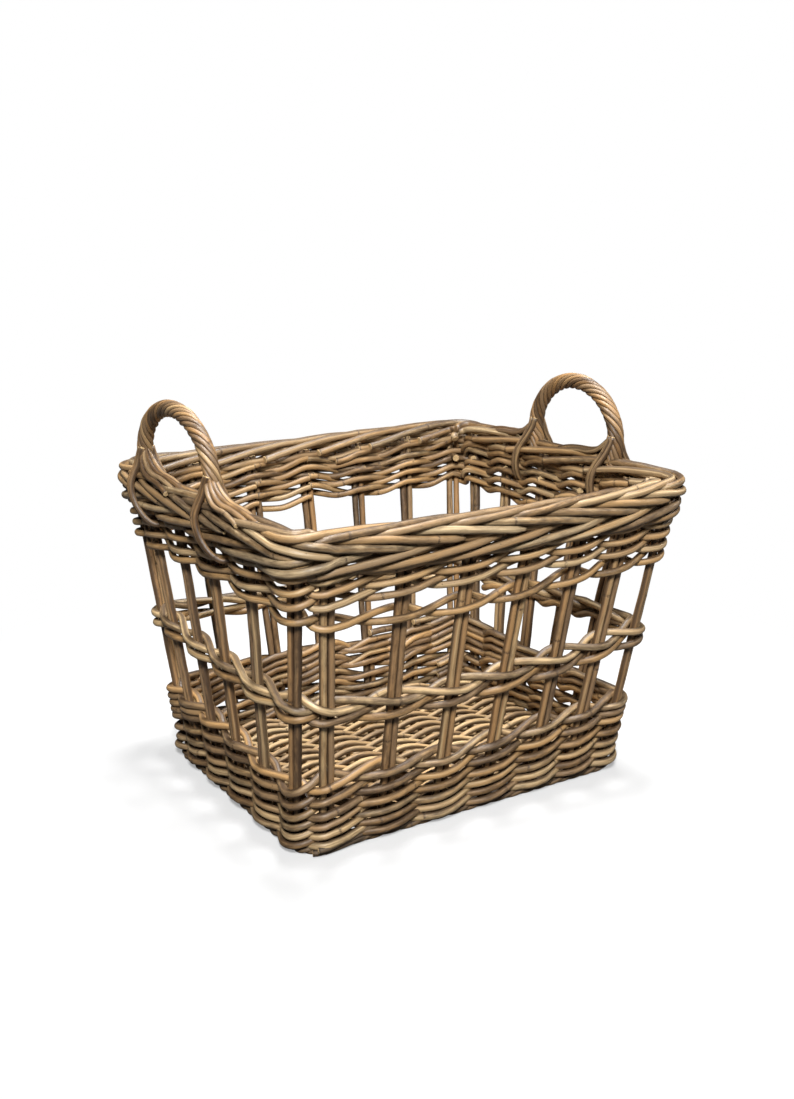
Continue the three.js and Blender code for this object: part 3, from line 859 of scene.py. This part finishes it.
# Three families of canes, one cane of each from every stake. A path is given by stake spaces past its
# stake, distance across the wall and height above the border's middle
TOP_PATH = (
    (0.15, -2.0, -1.0), (0.5, 4.5, 3.0), (0.8, 9.0, 6.0), (1.1, 9.8, 7.5), (1.5, 6.5, 9.3), (2.0, 0.5, 10.0),
    (2.5, -5.0, 9.0), (3.0, -9.5, 5.0), (3.5, -12.0, -1.0), (3.8, -12.5, -5.0),
)
MIDDLE_PATH = (
    (-0.1, 2.0, 2.0), (0.3, 9.5, 2.0), (0.6, 12.5, 0.5), (0.9, 13.2, -2.0), (1.3, 13.2, -5.5),
    (1.8, 12.0, -9.5), (2.1, 7.5, -12.0), (2.4, 1.0, -13.5),
)
LOWER_PATH = (
    (-0.1, -7.5, -31.5), (0.3, 2.0, -31.0), (0.7, 9.5, -28.5), (1.1, 12.6, -25.0), (1.5, 13.2, -21.0),
    (1.9, 12.6, -17.0), (2.2, 9.5, -14.0), (2.5, 4.0, -12.0),
)

# Stakes whose middle cane ends early in a pared tip, the stake spaces that are cut off, and the
# length of the tip
TIP_STAKES = (0, 1, 4, 9, 14, 20)
TIP_CUT = 0.65
TIP_LENGTH = 14.0

# Canes that lie inside the border all the way round: distance across the wall and height
CORE_CANES = ((3.0, 0.5), (2.5, -8.5), (2.0, -17.5))


def border_canes(name, path, seed, node_names, tip_stakes=(), core=()):
    """One cane of the border from every stake, each on its path with a little play. Inside a corner
    the canes cut across it. At some stakes the cane is cut short and pared, so that its end shows.
    Core canes lie inside the border all the way round."""
    canes = Canes(seed)
    knots, across, height = np.array(path).T
    for stake in range(STAKES):
        end = knots[-1] - (TIP_CUT if stake in tip_stakes else 0.0)
        at = np.linspace(knots[0], end, 70)
        w = smooth_curve(at, knots, across) + canes.rng.uniform(-0.5, 0.3)
        plan_out = wall_frame(stake + at, np.full_like(at, BORDER_HEIGHT))[1]
        corner = 2 * np.abs(plan_out[:, 0] * plan_out[:, 1])
        w = w - CORNER_CUT * corner * smooth_step(-w / CORNER_CUT_DEPTH)
        h = smooth_curve(at, knots, height) + sway(canes.rng, at, 4.0, 0.6)
        h = np.minimum(h, RIM_TOP - BORDER_HEIGHT - BORDER_RADIUS) + turn_curve(stake + at, BORDER_STRAY)
        level = BORDER_HEIGHT + h
        canes.add(
            on_wall(stake + at, w, level),
            BORDER_RADIUS * canes.rng.uniform(0.9, 1.03),
            level_outward(stake + at, level) + (0.0, 0.0, 0.3),
            bend=0.3,
            taper=TIP_LENGTH if stake in tip_stakes else 0.0,
        )
    for across_core, above in core:
        at = np.linspace(0, STAKES, STAKES * 30)
        level = BORDER_HEIGHT + above + turn_curve(at, BORDER_STRAY)
        path = on_wall(at, across_core + sway(canes.rng, at, 5.0, 0.8), level + sway(canes.rng, at, 6.0, 0.8))
        canes.add(path, BORDER_RADIUS, level_outward(at, level), step=6.0, sides=10)
    canes.piece(name, BORDER_SKIN, "border_cane", *node_names)


border_canes("border_top_canes", TOP_PATH, 500, ("border_cane_1", "border_cane_2"))
border_canes("border_middle_canes", MIDDLE_PATH, 520, ("border_cane_3",), TIP_STAKES, CORE_CANES)
border_canes("border_lower_canes", LOWER_PATH, 540, ("border_cane_4",))


# Foot: canes laid like a rope under the first row, and two more inside them

FOOT_ROPE_CANES = 3
FOOT_ROPE_TURNS = 26
FOOT_ROPE_RADIUS = 2.7
FOOT_INNER_RADIUS = 3.4
FOOT_TIP_RADIUS = 3.3

# Short canes that end loose at the near corner: the station where each starts, its run in stake
# spaces, how far out it starts, its height there and how much it climbs
FOOT_TIPS = (
    (-0.4, 1.5, 11.0, 4.0, 3.0),
    (-0.3, 1.7, 13.5, 8.5, 4.0),
    (-0.15, 1.9, 9.0, 3.5, 5.0),
    (-0.25, 2.1, 7.0, 12.0, 6.0),
)
FOOT_TIP_INNER_END = 2.0


def foot_canes():
    """Canes round the foot. The outer three turn round a common line by a cosine across and a sine
    up, the inner two lie level, and what would reach below the ground is pressed flat on it."""
    canes = Canes(600)
    at = np.linspace(0, STAKES, STAKES * 40)
    for k in range(FOOT_ROPE_CANES):
        angle = 2 * math.pi * (FOOT_ROPE_TURNS * at / STAKES + k / FOOT_ROPE_CANES)
        across = 3.4 + 2.6 * np.cos(angle)
        height = 4.4 + 2.2 * np.sin(angle)
        canes.add(on_wall(at, across, height), FOOT_ROPE_RADIUS, level_outward(at, height), bend=0.1)
    for across in (-6.0, -13.0):
        level = np.full_like(at, FOOT_INNER_RADIUS)
        canes.add(on_wall(at, across, level), FOOT_INNER_RADIUS, level_outward(at, level), bend=0.1)
    for start, run, reach, height, gain in FOOT_TIPS:
        t = np.linspace(0, 1, 60)
        at = start + run * t
        across = reach + (FOOT_TIP_INNER_END - reach) * smooth_step(1.4 * t)
        level = height + gain * t
        canes.add(on_wall(at, across, level), FOOT_TIP_RADIUS, level_outward(at, level), bend=0.2)
    for points in canes.points:
        points[:, 2] = np.maximum(points[:, 2], 0.0)
    canes.piece("foot_canes", SHADED_FOOT_SKIN, "foot_cane", "foot_border")


foot_canes()


# Floor: canes from side to side, over one stick and under the next, and their neighbours the other way

FLOOR_STICKS = 7
CORNER_SHORTENING = 12.0


def floor_canes():
    """Each floor cane rises and falls as a cosine with one half wave from stick to stick. The outer
    ones are shorter, for the rounded corners."""
    low, high = (np.array(corner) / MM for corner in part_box("floor_woven_panel"))
    boxes = [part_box(f"floor_stick_{k + 1}") for k in range(FLOOR_STICKS)]
    sticks = sorted((start.x + end.x) / 2 / MM for start, end in boxes)
    pitch = sticks[1] - sticks[0]
    middle = (low[2] + high[2]) / 2
    canes = Canes(700)
    width = (high[1] - low[1]) / FLOOR_CANES
    rise = FLOOR_CANE_RADIUS + FLOOR_STICK_RADIUS - PRESS
    for k in range(FLOOR_CANES):
        from_edge = min(k, FLOOR_CANES - 1 - k)
        reach = high[0] + 2 - CORNER_SHORTENING * smooth_step(1 - from_edge / 2)
        x = np.linspace(-reach - canes.rng.uniform(0, 2), reach + canes.rng.uniform(0, 2), 200)
        y = low[1] + width * (k + 0.5) + sway(canes.rng, x, 180, 0.5)
        sign = 1 if k % 2 == 0 else -1
        z = middle + sign * rise * np.cos(math.pi * (x - sticks[0]) / pitch)
        radius = FLOOR_CANE_RADIUS * canes.rng.uniform(0.93, 1.05)
        path = np.stack([x, y, z], axis=1)
        canes.add(path, radius, UPWARDS, step=5.0, sides=10, bend=0.15, scar_pitch=300)
    canes.piece("floor_canes", FLOOR_SKIN, "floor_cane", "floor_woven_panel")
    for k, x in enumerate(sticks):
        stick = Canes(760 + k)
        y = np.linspace(low[1] + 1, high[1] - 1, 60)
        path = np.stack([np.full_like(y, x), y, np.full_like(y, middle)], axis=1)
        stick.add(path, FLOOR_STICK_RADIUS, UPWARDS, step=8.0, bend=0.1)
        stick.piece(f"floor_stick_cane_{k + 1}", FLOOR_SKIN, "floor_cane", f"floor_stick_{k + 1}")


floor_canes()


# Handles

ROPE_STRANDS = 8
ROPE_PITCH = 82.0
ROPE_RING_RADIUS = HANDLE_ROPE_RADIUS - ROPE_CANE_RADIUS
ROPE_CORE_RADIUS = ROPE_RING_RADIUS - 1.5
LEG_STRAIGHT = 20.0
LEG_CLEARANCE = 0.3


def handle_line(side):
    """Middle line of a handle's rope with its directions: an ellipse from foot to foot in the wall's
    plane, with a straight stretch below each foot. Gives the points, the way from leg to leg, the way
    out of the wall and the legs' stations."""
    stations = [station_past(stake, step, BORDER_HEIGHT) for stake, step in LEG_STEPS[side]]
    legs = on_wall(np.array(stations), BORDER_OUTSET, np.full(2, BORDER_HEIGHT))
    middle = legs.mean(axis=0)
    span = np.linalg.norm(legs[1] - legs[0])
    along = (legs[1] - legs[0]) / span
    outward = np.array([np.sign(middle[0]), 0.0, 0.0])
    half_span = span / 2 / math.cos(HANDLE_FOOT_ANGLE)
    centre_height = RIM_TOP + LEG_CLEARANCE + HANDLE_HALF_RISE * math.sin(HANDLE_FOOT_ANGLE)
    angle = np.linspace(-HANDLE_FOOT_ANGLE, math.pi + HANDLE_FOOT_ANGLE, 240)
    across = half_span * np.cos(angle)
    height = centre_height + HANDLE_HALF_RISE * np.sin(angle)
    below = np.linspace(0, 1, 12)[:-1] * LEG_STRAIGHT - LEG_STRAIGHT
    across = np.concatenate([np.full(len(below), across[0]), across, np.full(len(below), across[-1])])
    height = np.concatenate([height[0] + below, height, height[-1] + below[::-1]])
    points = middle + across[:, None] * along
    points[:, 2] = height
    return points, along, outward, stations


def handle_rope(side, seed):
    """Rope of canes round a core: cane j lies at the ring's radius times cos(turn) in the handle's
    plane and sin(turn) out of it, and the turn falls steadily along the rope."""
    points, _, outward, _ = handle_line(side)
    canes = Canes(seed)
    inward = np.cross(outward, unit(np.gradient(points, axis=0)))
    lengths = lengths_along(points)
    at = np.linspace(0, lengths[-1], 400)
    line = resampled(at, lengths, points)
    inward = resampled(at, lengths, inward)
    canes.add(line, ROPE_CORE_RADIUS, outward, bend=0.0, sides=10)
    for j in range(ROPE_STRANDS):
        turn = 2 * math.pi * (j / ROPE_STRANDS - at / ROPE_PITCH)
        radial = np.cos(turn)[:, None] * inward + np.sin(turn)[:, None] * outward
        radius = ROPE_CANE_RADIUS * canes.rng.uniform(0.94, 1.05)
        canes.add(line + ROPE_RING_RADIUS * radial, radius, radial, step=3.0, sides=10, bend=0.12)
    canes.piece(f"handle_rope_{side}", HANDLE_SKIN, "handle_cane", f"handle_hoop_{side}")


# A lashing's route from the rope's outer face down, under the border and up to its inner face:
# along the wall, across it and height above the border's middle
LASHING_ROUTE = (
    (3.0, 6.5, 40.0), (0.0, 8.5, 30.0), (-2.0, 11.0, 20.0), (-4.0, 15.0, 11.0), (-5.0, 18.5, 0.0),
    (-3.0, 18.5, -12.0), (3.0, 16.5, -24.0), (12.0, 11.0, -36.0), (20.0, 2.0, -43.0), (24.0, -8.0, -38.0),
    (22.0, -15.0, -24.0), (19.0, -17.5, -9.0), (13.0, -16.0, 5.0), (6.0, -12.5, 17.0), (1.0, -9.0, 29.0),
    (-1.0, -6.5, 40.0),
)
LASHING_CANE_RADIUS = ROPE_CANE_RADIUS * 1.02
LASHING_GAP = 0.1

# Rope canes that leave a leg at its foot and run on over the border: the direction round the leg
# where each leaves, and where it then lies across the wall, its height and its run along the wall
TAILS = (
    (80.0, 12.0, 12.0, 78.0),
    (50.0, 7.0, 15.0, 90.0),
    (20.0, 1.5, 16.0, 97.0),
    (-15.0, -4.0, 14.5, 86.0),
)

# The height at which they leave, the length of their bend, the share of the rope's radius at which
# they start, and how far their ends come down
TAIL_START = 44.0
TAIL_BEND = 44.0
TAIL_GRIP = 0.15
TAIL_FALL = 8.0


def handle_lashing(side, end, leg, seed):
    """A pair of canes beside each other along the route, and the rope's own canes that run on over
    the border from the leg's foot: a quarter of an ellipse from upright to level, and then on along
    the border."""
    canes = Canes(seed)
    _, along, outward, stations = handle_line(side)
    route = np.array(LASHING_ROUTE)
    at = np.linspace(0, len(route) - 1, 160)
    a, w, h = (smooth_curve(at, np.arange(len(route)), route[:, k]) for k in range(3))
    origin = on_wall(np.array([stations[leg]]), BORDER_OUTSET, np.array([BORDER_HEIGHT]))[0]
    for k in (-1, 1):
        beside = k * (ROPE_CANE_RADIUS + LASHING_GAP)
        path = origin + (a + beside)[:, None] * along + w[:, None] * outward
        path[:, 2] = BORDER_HEIGHT + h
        towards = w[:, None] * outward + np.stack([0 * h, 0 * h, h], axis=1) + 1e-3
        canes.add(path, LASHING_CANE_RADIUS, towards, step=3.0, sides=10, bend=0.1)
    space = float(space_length(np.array([stations[leg]]), BORDER_HEIGHT)[0])
    arc = np.clip(np.linspace(0, 2, 120), 0, 1) * math.pi / 2
    beyond = np.clip(np.linspace(-1, 1, 120), 0, 1)
    grip = ROPE_RING_RADIUS * (TAIL_GRIP + (1 - TAIL_GRIP) * smooth_step(1.6 * arc))
    for direction, out, top, run in TAILS:
        turn = math.radians(direction)
        a = grip * math.cos(turn) + TAIL_BEND * (1 - np.cos(arc)) + (run - TAIL_BEND) * beyond
        w = grip * math.sin(turn) * np.cos(arc) + out * np.sin(arc) ** 2
        h = top + (TAIL_START - top) * (1 - np.sin(arc)) - TAIL_FALL * beyond**2
        path = origin + a[:, None] * along + w[:, None] * outward
        path[:, 2] = BORDER_HEIGHT + h + turn_curve(stations[leg] + a / space, BORDER_STRAY)
        radius = ROPE_CANE_RADIUS * canes.rng.uniform(0.98, 1.1)
        canes.add(path, radius, outward + (0.0, 0.0, 0.7), step=3.0, sides=10)
    node = f"handle_lashing_{side}_{end}"
    canes.piece(node.replace("lashing", "lashing_canes"), HANDLE_SKIN, "handle_cane", node)


for side, ends, seed in (("right", ("front", "back"), 800), ("left", ("back", "front"), 840)):
    handle_rope(side, seed)
    for leg, end in enumerate(ends):
        handle_lashing(side, end, leg, seed + 10 + leg)


# Stage, light and camera


def pale_floor():
    """Wide white floor under the basket: its own shade keeps the shadow, and the camera also sees a
    share of plain white added, so that the ground is white away from the basket."""
    mesh = bpy.data.meshes.new("floor_sheet")
    reach = FLOOR_REACH
    corners = [(-reach, -reach, 0), (reach, -reach, 0), (reach, reach, 0), (-reach, reach, 0)]
    mesh.from_pydata(corners, [], [(0, 1, 2, 3)])
    sheet = bpy.data.objects.new("floor_sheet", mesh)
    bpy.context.scene.collection.objects.link(sheet)
    f = Finish("white_floor")
    camera_ray = f.node("ShaderNodeLightPath", output="Is Camera Ray")
    place = f.node("ShaderNodeTexCoord", output="Object")
    distance = f.node("ShaderNodeVectorMath", {"operation": "LENGTH"}, {0: place}, output="Value")
    shade = f.mix(camera_ray, FLOOR_SHADE, SHOWN_FLOOR)
    diffuse = f.node("ShaderNodeBsdfDiffuse", {}, {"Color": shade})
    glow = f.node("ShaderNodeEmission", {}, {"Color": WHITE, "Strength": 1.0})
    share = camera_ray * f.between(distance, NEAR_DISTANCE, FAR_DISTANCE, NEAR_WHITE, 1.0)
    mixed = f.node("ShaderNodeMixShader", {}, {0: share, 1: diffuse, 2: glow})
    f.node("ShaderNodeOutputMaterial", {}, {"Surface": mixed})
    mesh.materials.append(f.material)


def white_world():
    """World that lights softly and shows plain white to the camera."""
    world = bpy.data.worlds.new("studio")
    bpy.context.scene.world = world
    world.use_nodes = True
    f = Nodes(world.node_tree)
    camera_ray = f.node("ShaderNodeLightPath", output="Is Camera Ray")
    ambient = f.node("ShaderNodeBackground", {}, {"Color": WHITE, "Strength": AMBIENT})
    shown = f.node("ShaderNodeBackground", {}, {"Color": WHITE, "Strength": 1.0})
    mixed = f.node("ShaderNodeMixShader", {}, {0: camera_ray, 1: ambient, 2: shown})
    f.node("ShaderNodeOutputWorld", {}, {"Surface": mixed})


def soft_lamp(name, place, power, size):
    """Square lamp aimed at the basket."""
    data = bpy.data.lights.new(name, "AREA")
    data.energy = power
    data.size = size
    lamp = bpy.data.objects.new(name, data)
    bpy.context.scene.collection.objects.link(lamp)
    lamp.location = place
    lamp.rotation_euler = (LAMP_TARGET - Vector(place)).to_track_quat("-Z", "Y").to_euler()


def photo_camera():
    """Camera at the photograph's place: its back points from the target to the camera."""
    data = bpy.data.cameras.new("photo_camera")
    data.sensor_fit = "VERTICAL"
    data.sensor_height = 36.0
    data.lens = FOCAL_PIXELS / PHOTO_HEIGHT * data.sensor_height
    data.shift_x = (PHOTO_WIDTH / 2 - CENTRE_PIXEL_X) / PHOTO_HEIGHT
    data.shift_y = (CENTRE_PIXEL_Y - PHOTO_HEIGHT / 2) / PHOTO_HEIGHT
    data.clip_end = 50.0
    camera = bpy.data.objects.new("photo_camera", data)
    bpy.context.scene.collection.objects.link(camera)
    level = math.cos(CAMERA_ELEVATION)
    back_x = math.sin(CAMERA_AZIMUTH) * level
    back_y = -math.cos(CAMERA_AZIMUTH) * level
    back = Vector((back_x, back_y, math.sin(CAMERA_ELEVATION)))
    camera.location = CAMERA_TARGET + CAMERA_DISTANCE * back
    camera.rotation_euler = (math.pi / 2 - CAMERA_ELEVATION, 0.0, CAMERA_AZIMUTH)
    bpy.context.scene.camera = camera


pale_floor()
white_world()
soft_lamp("key_lamp", place=(-1.2, -1.8, 2.1), power=128.0, size=0.6)
soft_lamp("top_lamp", place=(0.3, 0.2, 2.8), power=150.0, size=0.8)
soft_lamp("side_lamp", place=(2.3, -0.9, 1.5), power=17.0, size=0.8)
photo_camera()
bpy.context.scene.view_settings.view_transform = "Standard"
